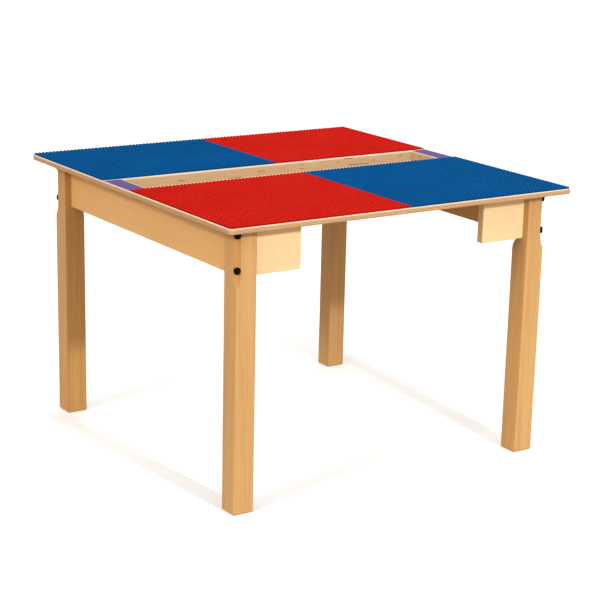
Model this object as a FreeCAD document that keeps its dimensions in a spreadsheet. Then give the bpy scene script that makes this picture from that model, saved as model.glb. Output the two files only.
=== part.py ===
import FreeCAD, Part
import math
import os
import re

import Sketcher

# A play table: a plywood panel with studded building plates and a shallow trough, on four bolted legs.
# The origin is on the floor under the middle of the panel. X runs along the trough, Y to the back, Z up.

# Driving sizes in millimetres, and counts of studs and rows
SIZES = {
    # Building plates
    "stud_pitch": 8.0,
    "stud_diameter": 4.9,
    "stud_height": 1.8,
    "plate_sheet": 1.6,
    "plate_corner": 5.0,
    "plate_clearance": 0.3,
    "stud_count": 96,
    "front_left_count": 48,
    "back_left_count": 49,
    "front_row_count": 45,
    "back_row_count": 38,
    # Panel
    "table_height": 540.0,
    "panel_thickness": 10.0,
    "panel_margin": 3.0,
    "panel_corner": 11.0,
    "panel_ease": 1.0,
    # Trough in the panel
    "trough_gap": 108.0,
    "trough_ledge": 7.0,
    "trough_land": 41.0,
    "trough_wall": 10.0,
    "strip_width": 20.0,
    "end_width": 12.0,
    "trough_board": 3.0,
    # Aprons and rails
    "apron_height": 90.0,
    "apron_thickness": 16.0,
    "rail_length": 113.0,
    "board_ease": 1.0,
    # Legs
    "leg_inset": 36.0,
    "leg_width": 42.0,
    "leg_wall": 14.0,
    "chamfer_width": 13.0,
    "tongue_drop": 9.5,
    "tongue_length": 26.0,
    "dub_depth": 16.0,
    "dub_height": 24.0,
    "leg_ease": 2.0,
    "foot_ease": 2.0,
    # Leg bolts and their nuts
    "bolt_edge_low": 14.5,
    "bolt_edge_high": 12.5,
    "bolt_diameter": 8.0,
    "bolt_bore": 8.8,
    "bolt_head": 13.5,
    "bolt_head_height": 4.4,
    "bolt_crown": 7.5,
    "bolt_end": 1.5,
    "nut_flats": 13.0,
    "nut_height": 6.5,
    # Corner blocks and cleats
    "block_reach": 40.0,
    "block_end": 10.0,
    "block_short": 3.0,
    "cleat_width": 20.0,
    "cleat_gap": 6.0,
    # Wood screws
    "screw_diameter": 4.0,
    "screw_head": 8.0,
    "screw_head_height": 2.4,
    "screw_bite": 7.0,
    "screw_room": 0.6,
    # Clearance between a round piece and its bore, and the overrun of every cut
    "fit_clearance": 0.1,
    "overrun": 2.0,
}

# Places of the screws, as shares of the piece that they go through
TOP_SCREW_SHARES = (0.12, 0.88)
TROUGH_SCREW_SHARES = (0.12, 0.5, 0.88)
MIDDLE_SHARE = 0.5

# Sides of the small screws and of the bores, which have few faces
SCREW_SIDE_COUNT = 6
BORE_SIDE_COUNT = 12

# Signs of the sides along X and Y, as formulas use them
SIGNS = {"left": "-1", "right": "1", "front": "-1", "back": "1"}
ENDS = ("front", "back")
SIDES = ("left", "right")
CORNERS = [(end, side) for end in ENDS for side in SIDES]

X_AXIS = FreeCAD.Vector(1, 0, 0)
Z_AXIS = FreeCAD.Vector(0, 0, 1)
LEVEL = FreeCAD.Rotation(X_AXIS, -90.0)
NEAR = 0.001

doc = FreeCAD.newDocument("play_table")
sheet = doc.addObject("Spreadsheet::Sheet", "Sizes")
nodes = {}


def fill_sheet():
    for row, (alias, size) in enumerate(SIZES.items(), start=1):
        sheet.set(f"A{row}", alias)
        sheet.set(f"B{row}", str(size))
        sheet.setAlias(f"B{row}", alias)
    doc.recompute()


def formula(text, **parts):
    """A formula from aliases of the sheet and from formulas worked out before."""
    def swap(match):
        word = match.group()
        return parts.get(word, f"Sizes.{word}" if word in SIZES else word)

    return "(" + re.sub(r"[a-z_]+", swap, text) + ")"


def measure(text):
    return float(sheet.evalExpression(text))


# Formulas that several pieces share
half_length = formula("stud_count * stud_pitch / 2 + panel_margin")
half_width = formula("((front_row_count + back_row_count) * stud_pitch + trough_gap) / 2 + panel_margin")
underside = formula("table_height - panel_thickness")
leg_x = formula("length - leg_inset", length=half_length)
leg_y = formula("width - leg_inset", width=half_width)
apron_x = formula("leg - leg_wall", leg=leg_x)
apron_y = formula("leg - leg_wall", leg=leg_y)
inner_x = formula("outer - apron_thickness", outer=apron_x)
inner_y = formula("outer - apron_thickness", outer=apron_y)
shoulder = formula("top - apron_height", top=underside)
plates_front = formula("front_row_count * stud_pitch + panel_margin - width", width=half_width)
plates_back = formula("front + trough_gap", front=plates_front)
mouth_front = formula("front + trough_ledge", front=plates_front)
mouth_back = formula("back - trough_ledge", back=plates_back)
mouth_x = formula("length - trough_land", length=half_length)
tray_front = formula("front - strip_width", front=mouth_front)
tray_back = formula("back + strip_width", back=mouth_back)
tray_x = formula("mouth + end_width", mouth=mouth_x)
trough_bottom = formula("top - trough_wall", top=underside)
tray_bottom = formula("bottom - trough_board", bottom=trough_bottom)
chamfer_depth = formula("chamfer_width / 2")
block_corner = formula("(leg_wall + apron_thickness) * sqrt(2)")
block_face = formula("corner + (block_reach + block_end) * sqrt(0.5)", corner=block_corner)
bolt_low = formula("bottom + bolt_edge_low", bottom=shoulder)
bolt_high = formula("top - bolt_edge_high", top=underside)
bolt_radius = formula("bolt_diameter / 2")
screw_radius = formula("screw_diameter / 2")
cleat_bottom = formula("top - cleat_width", top=underside)
trough_grip = formula("trough_wall + trough_board")


# Sketches and features

def attach(body, plane_role, lift=None):
    sketch = body.newObject("Sketcher::SketchObject", "Sketch")
    plane = next(item for item in body.Origin.OriginFeatures if item.Role == plane_role)
    sketch.AttachmentSupport = (plane, [""])
    sketch.MapMode = "FlatFace"
    if lift:
        sketch.setExpression("AttachmentOffset.Base.z", lift)
    return sketch


def pin(sketch, kind, edge, end, size):
    """Ties one coordinate of a sketch point to a formula, or lays the point on an axis."""
    if size == "0":
        axis = -2 if kind == "DistanceX" else -1
        sketch.addConstraint(Sketcher.Constraint("PointOnObject", edge, end, axis))
        return
    index = sketch.addConstraint(Sketcher.Constraint(kind, -1, 1, edge, end, measure(size)))
    sketch.setExpression(f"Constraints[{index}]", size)


def arc_centre(start, end, kind, size):
    """The centre that is as far from both ends and has one coordinate given."""
    along = 0 if kind == "DistanceX" else 1
    across = 1 - along
    known = measure(size)
    reach = (start[along] - known) ** 2 - (end[along] - known) ** 2
    reach += start[across] ** 2 - end[across] ** 2
    centre = FreeCAD.Vector()
    centre[along] = known
    centre[across] = reach / (2 * (start[across] - end[across]))
    return centre


def add_arc(sketch, start, end, kind, size):
    """Adds an arc and gives the numbers of its points at start and at end."""
    centre = arc_centre(start, end, kind, size)
    first = start - centre
    last = end - centre
    angles = [math.atan2(first.y, first.x), math.atan2(last.y, last.x)]
    ends = (1, 2)
    if first.cross(last).z < 0:
        angles.reverse()
        ends = (2, 1)
    circle = Part.Circle(centre, Z_AXIS, first.Length)
    edge = sketch.addGeometry(Part.ArcOfCircle(circle, *angles))
    pin(sketch, kind, edge, 3, size)
    return ends


def draw(sketch, points, arcs=None):
    """Closes an outline through points given as formulas. An arc names one coordinate of its centre."""
    arcs = arcs or {}
    spots = [FreeCAD.Vector(measure(x), measure(y), 0) for x, y in points]
    ends = []
    for index, start in enumerate(spots):
        end = spots[(index + 1) % len(spots)]
        if index in arcs:
            ends.append(add_arc(sketch, start, end, *arcs[index]))
        else:
            sketch.addGeometry(Part.LineSegment(start, end))
            ends.append((1, 2))
    for index, (x, y) in enumerate(points):
        before = index - 1 if index else len(points) - 1
        sketch.addConstraint(
            Sketcher.Constraint("Coincident", before, ends[before][1], index, ends[index][0]))
        pin(sketch, "DistanceX", index, ends[index][0], x)
        pin(sketch, "DistanceY", index, ends[index][0], y)


def new_body(label):
    body = doc.addObject("PartDesign::Body", "Body")
    body.Label = label
    return body


def ring(sketch, radius):
    """Adds a circle about the sketch's origin."""
    circle = Part.Circle(FreeCAD.Vector(), Z_AXIS, measure(radius))
    edge = sketch.addGeometry(circle)
    sketch.addConstraint(Sketcher.Constraint("Coincident", edge, 3, -1, 1))
    index = sketch.addConstraint(Sketcher.Constraint("Radius", edge, measure(radius)))
    sketch.setExpression(f"Constraints[{index}]", radius)


def pad(body, sketch, length, backward=False):
    feature = body.newObject("PartDesign::Pad", "Pad")
    feature.Profile = sketch
    feature.Reversed = backward
    feature.setExpression("Length", length)
    return feature


def pocket(body, sketch, length, upward=False, both_ways=False):
    before = body.Shape.Volume
    feature = body.newObject("PartDesign::Pocket", "Pocket")
    feature.Profile = sketch
    feature.Reversed = upward
    feature.SideType = "Symmetric" if both_ways else "One side"
    feature.setExpression("Length", length)
    doc.recompute()
    if body.Shape.Volume >= before:
        raise RuntimeError(f"a pocket in {body.Label} cuts nothing")
    return feature


def soften(body, kind, size_property, size, choose):
    """Rounds or bevels the chosen edges of the body as it stands."""
    doc.recompute()
    base = body.Tip
    names = [f"Edge{n}" for n, edge in enumerate(base.Shape.Edges, start=1) if choose(edge)]
    feature = body.newObject(kind, "Edges")
    feature.Base = (base, names)
    feature.setExpression(size_property, size)
    doc.recompute()


def round_edges(body, size, choose):
    soften(body, "PartDesign::Fillet", "Radius", size, choose)


def bevel_edges(body, size, choose):
    soften(body, "PartDesign::Chamfer", "Size", size, choose)


def runs_along(edge, axis):
    return edge.tangentAt(edge.FirstParameter).cross(axis).Length < NEAR


def is_level(edge, height):
    box = edge.BoundBox
    return abs(box.ZMin - height) < NEAR and abs(box.ZMax - height) < NEAR


def stands_at(edge, x, y):
    """Whether an edge is upright and stands at a place in its body's own frame."""
    middle = edge.CenterOfMass
    return runs_along(edge, Z_AXIS) and math.hypot(middle.x - x, middle.y - y) < NEAR


def rectangle(left, front, right, back):
    return [(left, front), (right, front), (right, back), (left, back)]


def place(item, x, y, z, turn=None):
    if turn:
        item.Placement = FreeCAD.Placement(FreeCAD.Vector(), turn)
    for axis, size in (("x", x), ("y", y), ("z", z)):
        item.setExpression(f"Placement.Base.{axis}", size)


def board(label, length, width, height):
    """A plain board with one corner at its own origin."""
    body = new_body(label)
    sketch = attach(body, "XY_Plane")
    draw(sketch, rectangle("0", "0", length, width))
    pad(body, sketch, height)
    return body


def turned(label, points):
    """A piece turned about its own Y axis, from radius and distance along the axis."""
    body = new_body(label)
    sketch = attach(body, "XY_Plane")
    draw(sketch, points)
    feature = body.newObject("PartDesign::Revolution", "Revolution")
    feature.Profile = sketch
    feature.ReferenceAxis = (sketch, ["V_Axis"])
    return body


def straight_bar(count, radius, length):
    """A bar with a regular polygon as its section."""
    bar = doc.addObject("Part::Prism", "Bar")
    bar.Polygon = count
    bar.setExpression("Circumradius", radius)
    bar.setExpression("Height", length)
    return bar


def six_sided(radius, length, x, y, z):
    """A six-sided bar that stands on a point."""
    bar = straight_bar(SCREW_SIDE_COUNT, radius, length)
    place(bar, x, y, z)
    return bar


def group(label, items):
    compound = doc.addObject("Part::Compound", "Group")
    compound.Label = label
    compound.Links = items
    return compound


def drill(label, blank, cutters):
    """Takes all the cutters out of a blank."""
    blank.Label = f"{label}_blank"
    cut = doc.addObject("Part::Cut", "Cut")
    cut.Label = label
    cut.Base = blank
    cut.Tool = group(f"{label}_bores", cutters)
    return cut


def on_side(name, size):
    """A distance from the middle, towards the named side."""
    return f"({SIGNS[name]} * {size})"


def minus_of(size):
    return f"(-1 * {size})"


def total(*sizes):
    return "(" + " + ".join(sizes) + ")"


def minus(size, *others):
    return "(" + " - ".join((size,) + others) + ")"


def between(start, end, share):
    return f"({start} + ({end} - {start}) * {share})"


# Panel and building plates

def panel_point(x, y):
    """A place in the panel's own frame, which starts at its front left corner."""
    return total(x, half_length), total(y, half_width)


def make_panel(cutters):
    length = formula("2 * half", half=half_length)
    width = formula("2 * half", half=half_width)
    body = board("table_top", length, width, formula("panel_thickness"))
    place(body, minus_of(half_length), minus_of(half_width), underside)
    round_edges(body, formula("panel_corner"), lambda edge: runs_along(edge, Z_AXIS))
    bevel_edges(body, formula("panel_ease"), lambda edge: not runs_along(edge, Z_AXIS))
    sketch = attach(body, "XY_Plane")
    left, front = panel_point(minus_of(mouth_x), mouth_front)
    right, back = panel_point(mouth_x, mouth_back)
    draw(sketch, rectangle(left, front, right, back))
    pocket(body, sketch, formula("panel_thickness + overrun"), upward=True)
    nodes["table_top"] = drill("table_top", body, cutters)


def round_corner(body, end, side, length, width):
    """Rounds the plate's corner that lies in the panel's own corner."""
    x = measure(length) if side == "right" else 0.0
    y = measure(width) if end == "back" else 0.0
    round_edges(body, formula("plate_corner"), lambda edge: stands_at(edge, x, y))


def add_stud_rows(body, length, rows):
    """Raises the rows of studs, each row as the straight rib that its studs fill from end to end."""
    start = formula("(stud_pitch - plate_clearance - stud_diameter) / 2")
    back = formula("start + stud_diameter", start=start)
    sketch = attach(body, "XY_Plane", formula("plate_sheet"))
    draw(sketch, rectangle(start, start, minus(length, start), back))
    row = pad(body, sketch, formula("stud_height"))
    doc.recompute()
    pattern = body.newObject("PartDesign::LinearPattern", "Rows")
    pattern.Originals = [row]
    pattern.Direction = (sketch, ["V_Axis"])
    pattern.setExpression("Length", formula("(count - 1) * stud_pitch", count=rows))
    pattern.setExpression("Occurrences", rows)
    body.Tip = pattern
    doc.recompute()


def make_plate(end, side, left, front, studs, rows):
    """A building plate: a thin sheet with its rows of studs."""
    length = formula("count * stud_pitch - plate_clearance", count=studs)
    width = formula("count * stud_pitch - plate_clearance", count=rows)
    label = f"plate_{end}_{side}"
    body = board(label, length, width, formula("plate_sheet"))
    round_corner(body, end, side, length, width)
    add_stud_rows(body, length, rows)
    gap = formula("plate_clearance / 2")
    place(body, total(left, gap), total(front, gap), formula("table_height"))
    nodes[label] = body


def make_plates():
    start = formula("0 - stud_count * stud_pitch / 2")
    front = formula("panel_margin - width", width=half_width)
    rows = {
        "front": (front, "front_left_count", "front_row_count"),
        "back": (plates_back, "back_left_count", "back_row_count"),
    }
    for name, (edge, studs, count) in rows.items():
        split = formula("start + studs * stud_pitch", start=start, studs=formula(studs))
        rest = formula(f"stud_count - {studs}")
        make_plate(name, "left", start, edge, formula(studs), formula(count))
        make_plate(name, "right", split, edge, rest, formula(count))


# Trough under the panel

def make_trough(cutters):
    """Walls under the edges of the mouth, and the thin board that closes it below."""
    length = formula("2 * half", half=tray_x)
    height = formula("trough_wall")
    far_left = minus_of(tray_x)
    for name, front in (("front", tray_front), ("back", mouth_back)):
        strip = board("strip", length, formula("strip_width"), height)
        place(strip, far_left, front, trough_bottom)
        nodes[f"trough_strip_{name}"] = drill(f"trough_strip_{name}", strip, cutters)
    for name, left in (("left", far_left), ("right", mouth_x)):
        end = board("end", formula("end_width"), minus(mouth_back, mouth_front), height)
        place(end, left, mouth_front, trough_bottom)
        nodes[f"trough_end_{name}"] = drill(f"trough_end_{name}", end, cutters)
    floor = board("floor", length, minus(tray_back, tray_front), formula("trough_board"))
    place(floor, far_left, tray_front, tray_bottom)
    nodes["trough_floor"] = drill("trough_floor", floor, cutters)


def trough_screw_places():
    places = []
    for start, stop in ((tray_front, mouth_front), (mouth_back, tray_back)):
        y = between(start, stop, MIDDLE_SHARE)
        places += [(between(minus_of(mouth_x), mouth_x, share), y) for share in TROUGH_SCREW_SHARES]
    middle = between(mouth_front, mouth_back, MIDDLE_SHARE)
    for side in SIDES:
        places.append((on_side(side, between(mouth_x, tray_x, MIDDLE_SHARE)), middle))
    return places


# Legs and what the corners hold

def make_leg(corner):
    """A square leg, drawn from its outer corner with the diagonal along its own Y axis."""
    body = new_body("leg")
    side = formula("leg_width * sqrt(0.5)")
    sketch = attach(body, "XY_Plane")
    draw(sketch, [("0", "0"), (side, side), ("0", formula("2 * side", side=side)), (minus_of(side), side)])
    pad(body, sketch, underside)
    doc.recompute()
    cut_notch(body)
    cut_tongue(body)
    cut_dub(body)
    outer = measure(formula("leg_width * sqrt(0.5)"))
    round_edges(body, formula("leg_ease"),
                lambda edge: runs_along(edge, Z_AXIS) and abs(abs(edge.CenterOfMass.x) - outer) < NEAR)
    bevel_edges(body, formula("foot_ease"), lambda edge: is_level(edge, 0.0))
    place_corner(body, corner, "0", "0")
    return body


def cut_notch(body):
    """Takes the inner corner away above the shoulder, so the aprons' corner can stand on it."""
    start = formula("leg_wall * sqrt(2)")
    side = formula("leg_width")
    middle = total(start, side)
    sketch = attach(body, "XY_Plane", shoulder)
    draw(sketch, [("0", start), (side, middle), ("0", total(middle, side)), (minus_of(side), middle)])
    pocket(body, sketch, formula("apron_height + overrun"), upward=True)


def cut_tongue(body):
    """Chamfers the outer corner down past the bolts, with a curved run-out."""
    outside = formula("0 - overrun")
    top = formula("top + overrun", top=underside)
    flat_end = formula("bolt - tongue_drop", bolt=bolt_low)
    tip = formula("flat - tongue_length", flat=flat_end)
    points = [(outside, tip), ("0", tip), (chamfer_depth, flat_end), (chamfer_depth, top), (outside, top)]
    sketch = attach(body, "YZ_Plane")
    draw(sketch, points, {1: ("DistanceY", flat_end)})
    pocket(body, sketch, formula("leg_width * 2"), both_ways=True)


def cut_dub(body):
    """Rounds the shoulder's innermost corner off."""
    edge = formula("leg_width * sqrt(2)")
    inside = formula("edge - dub_depth", edge=edge)
    outside = formula("edge + overrun", edge=edge)
    low = formula("top - dub_height", top=shoulder)
    high = formula("top + overrun", top=shoulder)
    points = [(inside, shoulder), (edge, low), (outside, low), (outside, high), (inside, high)]
    sketch = attach(body, "YZ_Plane")
    draw(sketch, points, {0: ("DistanceY", low)})
    pocket(body, sketch, formula("leg_width"), both_ways=True)


def turn_inward(end, side):
    """The turn that points a corner piece's own Y axis at the table's middle."""
    angle = math.atan2(float(SIGNS[side]), -float(SIGNS[end]))
    return FreeCAD.Rotation(Z_AXIS, math.degrees(angle))


def place_corner(item, corner, inward, height, turn=None):
    """Places a corner piece, moved inward along the diagonal from the leg's outer corner."""
    end, side = corner
    spin = turn_inward(end, side)
    x = on_side(side, f"({leg_x} - {inward} * sqrt(0.5))")
    y = on_side(end, f"({leg_y} - {inward} * sqrt(0.5))")
    place(item, x, y, height, spin.multiply(turn) if turn else spin)


def bolt_bores(corner):
    """Bores of a corner's two bolts, through leg, aprons and block."""
    bores = []
    for height in (bolt_low, bolt_high):
        length = formula("face + overrun", face=block_face)
        cutter = straight_bar(BORE_SIDE_COUNT, formula("bolt_bore / 2"), length)
        place_corner(cutter, corner, "0", height, LEVEL)
        bores.append(cutter)
    return bores


def make_block(corner):
    """A corner block with blunt ends, drawn from its square corner."""
    body = new_body("block")
    reach = formula("block_reach * sqrt(0.5)")
    half = formula("(block_reach - block_end) * sqrt(0.5)")
    face = formula("(block_reach + block_end) * sqrt(0.5)")
    points = [("0", "0"), (reach, reach), (half, face), (minus_of(half), face), (minus_of(reach), reach)]
    sketch = attach(body, "XY_Plane")
    draw(sketch, points)
    pad(body, sketch, formula("apron_height - block_short"))
    place_corner(body, corner, block_corner, formula("bottom + block_short", bottom=shoulder))
    return body


def make_bolt(corner, height):
    """A button-head bolt that reaches through its nut."""
    crown = formula("0 - bolt_head_height")
    length = formula("face - seat + nut_height + bolt_end", face=block_face, seat=chamfer_depth)
    points = [
        ("0", crown), (formula("bolt_crown / 2"), crown), (formula("bolt_head / 2"), "0"),
        (bolt_radius, "0"), (bolt_radius, length), ("0", length),
    ]
    body = turned("leg_bolt", points)
    place_corner(body, corner, chamfer_depth, height)
    return body


def hexagon(flats):
    """Corners of a hexagon from the distance across its flats."""
    corner = f"({flats} / sqrt(3))"
    half = f"({flats} / sqrt(12))"
    side = f"({flats} / 2)"
    minus_half = minus_of(half)
    minus_side = minus_of(side)
    return [
        (corner, "0"), (half, side), (minus_half, side),
        (minus_of(corner), "0"), (minus_half, minus_side), (half, minus_side),
    ]


def make_nut(corner, height):
    body = new_body("leg_nut")
    sketch = attach(body, "XZ_Plane")
    draw(sketch, hexagon(formula("nut_flats")))
    ring(sketch, formula("bolt_diameter / 2 + fit_clearance"))
    pad(body, sketch, formula("nut_height"), backward=True)
    place_corner(body, corner, block_face, height)
    return body


# Aprons, rails and cleats

def make_apron(side):
    """A board on edge with a gap in its top for the trough."""
    body = new_body("apron")
    length = formula("2 * half", half=apron_y)
    gap_front = total(tray_front, apron_y)
    gap_back = total(tray_back, apron_y)
    top = formula("apron_height")
    gap_bottom = minus(tray_bottom, shoulder)
    points = rectangle("0", "0", length, top)[:3]
    points += [(gap_back, top), (gap_back, gap_bottom), (gap_front, gap_bottom), (gap_front, top), ("0", top)]
    sketch = attach(body, "YZ_Plane")
    draw(sketch, points)
    pad(body, sketch, formula("apron_thickness"))
    bevel_edges(body, formula("board_ease"),
                lambda edge: is_level(edge, 0.0) and not runs_along(edge, X_AXIS))
    left = minus_of(apron_x) if side == "left" else inner_x
    place(body, left, minus_of(apron_y), shoulder)
    return body


def make_rail(end, side):
    """A short board from the apron to its eased free end."""
    body = board("rail", formula("rail_length"), formula("apron_thickness"), formula("apron_height"))
    top = measure(formula("apron_height"))
    bevel_edges(body, formula("board_ease"),
                lambda edge: edge.CenterOfMass.x > NEAR and not is_level(edge, top))
    front = minus_of(apron_y) if end == "front" else inner_y
    back = minus_of(inner_y) if end == "front" else apron_y
    if side == "left":
        place(body, minus_of(inner_x), front, shoulder)
    else:
        place(body, inner_x, back, shoulder, FreeCAD.Rotation(Z_AXIS, 180.0))
    return body


def cleat_span(end):
    """Where a cleat starts and stops along Y."""
    outer = formula("inner - block_reach - cleat_gap", inner=inner_y)
    if end == "front":
        return minus_of(outer), formula("tray - cleat_gap", tray=tray_front)
    return formula("tray + cleat_gap", tray=tray_back), outer


def top_screw_places():
    """Where the panel's screws stand in the cleats."""
    places = []
    for side in SIDES:
        x = on_side(side, formula("inner - cleat_width / 2", inner=inner_x))
        for end in ENDS:
            start, stop = cleat_span(end)
            places += [(x, between(start, stop, share)) for share in TOP_SCREW_SHARES]
    return places


def make_cleats(side, cutters):
    """Strips along the apron's inner face, under the panel, on both sides of the trough."""
    left = minus_of(inner_x) if side == "left" else formula("inner - cleat_width", inner=inner_x)
    for end in ENDS:
        start, stop = cleat_span(end)
        label = f"cleat_{side}_{end}"
        body = board(label, formula("cleat_width"), minus(stop, start), formula("cleat_width"))
        place(body, left, start, cleat_bottom)
        nodes[label] = drill(label, body, cutters)


# Wood screws

def screw_bores(places, grip, height):
    """Cutters from the screws' seats through the grip and into the panel."""
    radius = formula("screw_diameter / 2 + fit_clearance")
    length = formula("grip + screw_bite + screw_room", grip=grip)
    return [six_sided(radius, length, x, y, height) for x, y in places]


def make_screws(label, places, grip, height):
    """Screws that pass upward through the grip and bite into the panel."""
    length = formula("grip + screw_bite", grip=grip)
    low = formula("seat - screw_head_height", seat=height)
    screws = []
    for x, y in places:
        screw = doc.addObject("Part::Fuse", "Screw")
        screw.Base = six_sided(formula("screw_head / 2"), formula("screw_head_height"), x, y, low)
        screw.Tool = six_sided(screw_radius, length, x, y, height)
        screws.append(screw)
    nodes[label] = group(label, screws)


# Assembly

def make_corners(bolt_cutters):
    bolts = []
    nuts = []
    for end, side in CORNERS:
        corner = (end, side)
        name = f"{end}_{side}"
        cutters = bolt_cutters[corner]
        nodes[f"leg_{name}"] = drill(f"leg_{name}", make_leg(corner), cutters)
        nodes[f"rail_{name}"] = drill(f"rail_{name}", make_rail(end, side), cutters)
        nodes[f"corner_block_{name}"] = drill(f"corner_block_{name}", make_block(corner), cutters)
        for height in (bolt_low, bolt_high):
            bolts.append(make_bolt(corner, height))
            nuts.append(make_nut(corner, height))
    nodes["leg_bolts"] = group("leg_bolts", bolts)
    nodes["leg_nuts"] = group("leg_nuts", nuts)


def make_sides(bolt_cutters, screw_cutters):
    for side in SIDES:
        cutters = [cutter for end in ENDS for cutter in bolt_cutters[end, side]]
        nodes[f"side_apron_{side}"] = drill(f"side_apron_{side}", make_apron(side), cutters)
        make_cleats(side, screw_cutters)


def build():
    fill_sheet()
    bolt_cutters = {corner: bolt_bores(corner) for corner in CORNERS}
    top_screws = (top_screw_places(), formula("cleat_width"), cleat_bottom)
    trough_screws = (trough_screw_places(), trough_grip, tray_bottom)
    top_cutters = screw_bores(*top_screws)
    trough_cutters = screw_bores(*trough_screws)
    make_panel(top_cutters + trough_cutters)
    make_plates()
    make_trough(trough_cutters)
    make_corners(bolt_cutters)
    make_sides(bolt_cutters, top_cutters)
    make_screws("top_screws", *top_screws)
    make_screws("trough_screws", *trough_screws)
    doc.recompute()


def check():
    """Stops before anything is written if a feature failed or a piece is not sound."""
    for item in doc.Objects:
        if "Invalid" in item.State or "Error" in item.State:
            raise RuntimeError(f"{item.Label} failed: {item.State}")
    for name, item in nodes.items():
        if item.Shape.isNull() or not item.Shape.isValid() or not item.Shape.Solids:
            raise RuntimeError(f"{name} is not a sound solid")


def write():
    os.makedirs("parts", exist_ok=True)
    for name, item in nodes.items():
        item.Shape.exportStep(f"parts/{name}.step")


build()
check()
write()
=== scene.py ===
import math

import bpy
import numpy as np
from mathutils import Matrix, Vector


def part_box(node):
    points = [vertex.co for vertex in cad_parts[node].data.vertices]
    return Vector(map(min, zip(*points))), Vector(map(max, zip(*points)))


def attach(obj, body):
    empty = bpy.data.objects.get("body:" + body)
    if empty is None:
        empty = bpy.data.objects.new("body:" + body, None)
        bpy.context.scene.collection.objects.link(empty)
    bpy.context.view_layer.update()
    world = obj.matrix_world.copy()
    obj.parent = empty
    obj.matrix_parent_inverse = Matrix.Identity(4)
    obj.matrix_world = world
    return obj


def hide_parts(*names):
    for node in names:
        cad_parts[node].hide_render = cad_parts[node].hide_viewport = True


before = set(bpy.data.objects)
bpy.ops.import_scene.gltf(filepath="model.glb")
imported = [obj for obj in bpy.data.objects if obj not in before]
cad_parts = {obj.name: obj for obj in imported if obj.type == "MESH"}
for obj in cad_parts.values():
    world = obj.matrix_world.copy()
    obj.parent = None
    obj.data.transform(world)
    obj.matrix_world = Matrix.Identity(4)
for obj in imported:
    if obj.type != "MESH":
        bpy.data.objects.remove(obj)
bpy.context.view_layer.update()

# The looks of a play table. Lengths are in metres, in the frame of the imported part.

MM = 0.001

# Panel, from the frame, and one of its plies
PANEL_LOW, PANEL_TOP = (corner.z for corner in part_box("table_top"))
PLY_COUNT = 7
PLY = (PANEL_TOP - PANEL_LOW) / PLY_COUNT

# Building plates
PITCH = 8.0 * MM
CLEARANCE = 0.3 * MM
SHEET = 1.6 * MM
STUD_RADIUS = 2.45 * MM
STUD_EASE = 0.3 * MM
STUD_SIDES = 12
CELL_SIDES = 4
PLATE_CORNER = 5.0 * MM
CORNER_STEPS = 8
PLATE_LEVEL = PANEL_TOP + SHEET
# The flat map that a plate's pattern is baked through: radii of a stud's rings, and the underside beside it
MAP_RADII = (2.45 * MM, 1.75 * MM, 1.35 * MM)
MAP_EDGE = 3.0 * MM
UNDERSIDE_SHARE = 0.1

# Leg bolts and their nuts, across the outer corners of the legs
LEG_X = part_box("leg_back_right")[1].x
LEG_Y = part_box("leg_back_right")[1].y
BOLT_HEIGHTS = (454.5 * MM, 517.5 * MM)
BOLT_SEAT = 6.5 * MM
BOLT_LENGTH = 79.28 * MM
BOLT_RADIUS = 4.0 * MM
BOLT_TIP = 0.6 * MM
HEAD_RADIUS = 6.75 * MM
HEAD_EASE = 0.2 * MM
HEAD_RIM = 0.7 * MM
HEAD_HEIGHT = 4.4 * MM
CROWN_RADIUS = 3.3 * MM
SOCKET_RADIUS = 2.89 * MM
SOCKET_EASE = 0.15 * MM
SOCKET_DEPTH = 2.7 * MM
NUT_FLATS = 13.0 * MM
NUT_HEIGHT = 6.5 * MM
NUT_BORE = 4.1 * MM
NUT_EASE = 0.9 * MM
NUT_CROWN_SHARE = 0.97
BOLT_END = 1.5 * MM
ROUND_SIDES = 36
HEXAGON_SIDES = 6
DOME_STEPS = 7

# Wood screws under the cleats and under the trough
SCREW_RADIUS = 2.0 * MM
SCREW_POINT = 5.0 * MM
SCREW_TIP = 0.3 * MM
PAN_RADIUS = 4.0 * MM
PAN_CROWN = 2.6 * MM
PAN_RIM = 0.5 * MM
PAN_HEIGHT = 2.4 * MM
CROSS_REACH = 2.0 * MM
CROSS_HALF = 0.55 * MM
CROSS_DEPTH = 1.4 * MM
TOP_SCREW_X = 311.0 * MM
TOP_SCREW_Y = (-249.16 * MM, -72.84 * MM, 122.12 * MM, 255.88 * MM)
TROUGH_SCREW_X = (-262.96 * MM, 0.0, 262.96 * MM)
TROUGH_SCREW_Y = (-29.0 * MM, 85.0 * MM)
TROUGH_END_X = 352.0 * MM
TROUGH_END_Y = 28.0 * MM

# Plain stickers on the bare ends of the panel
STICKER_X = (348.0 * MM, 384.0 * MM)
STICKER_Y = (-24.0 * MM, 77.0 * MM)
STICKER_THICK = 0.15 * MM
STICKER_CORNER = 1.5 * MM
STICKER_CORNER_STEPS = 5

# Studio
FLOOR_REACH = 15.0
WALL_RADIUS = 14.5
WALL_HEIGHT = 12.0
FLOOR_REPEATS = 1.5
WALL_REPEATS = 0.1
FLOOR_TONES = ((244, 244, 243), (247, 247, 247))
WALL_TONES = ((253, 253, 253), (255, 255, 255))
SKY_SPAN = (-0.1, 0.6)
SKY_LOW = (0.2, 0.11, 0.03, 1.0)
SKY_HIGH = (0.8, 0.8, 0.8, 1.0)
WHITE = (1.0, 1.0, 1.0)
WARM = (1.0, 0.94, 0.84)

# Camera, from the photograph's perspective, with angles in degrees and the sensor in millimetres
CAMERA_PLACE = (-1.8916, -2.8566, 1.2014)
CAMERA_AZIMUTH = -35.34
CAMERA_ELEVATION = 16.41
CAMERA_ROLL = 1.75
FOCAL_PIXELS = 1748.5
PICTURE_PIXELS = 600.0
SENSOR = 36.0
SHIFT_SHARES = (-0.075, 0.067)


# Shader nodes

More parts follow.
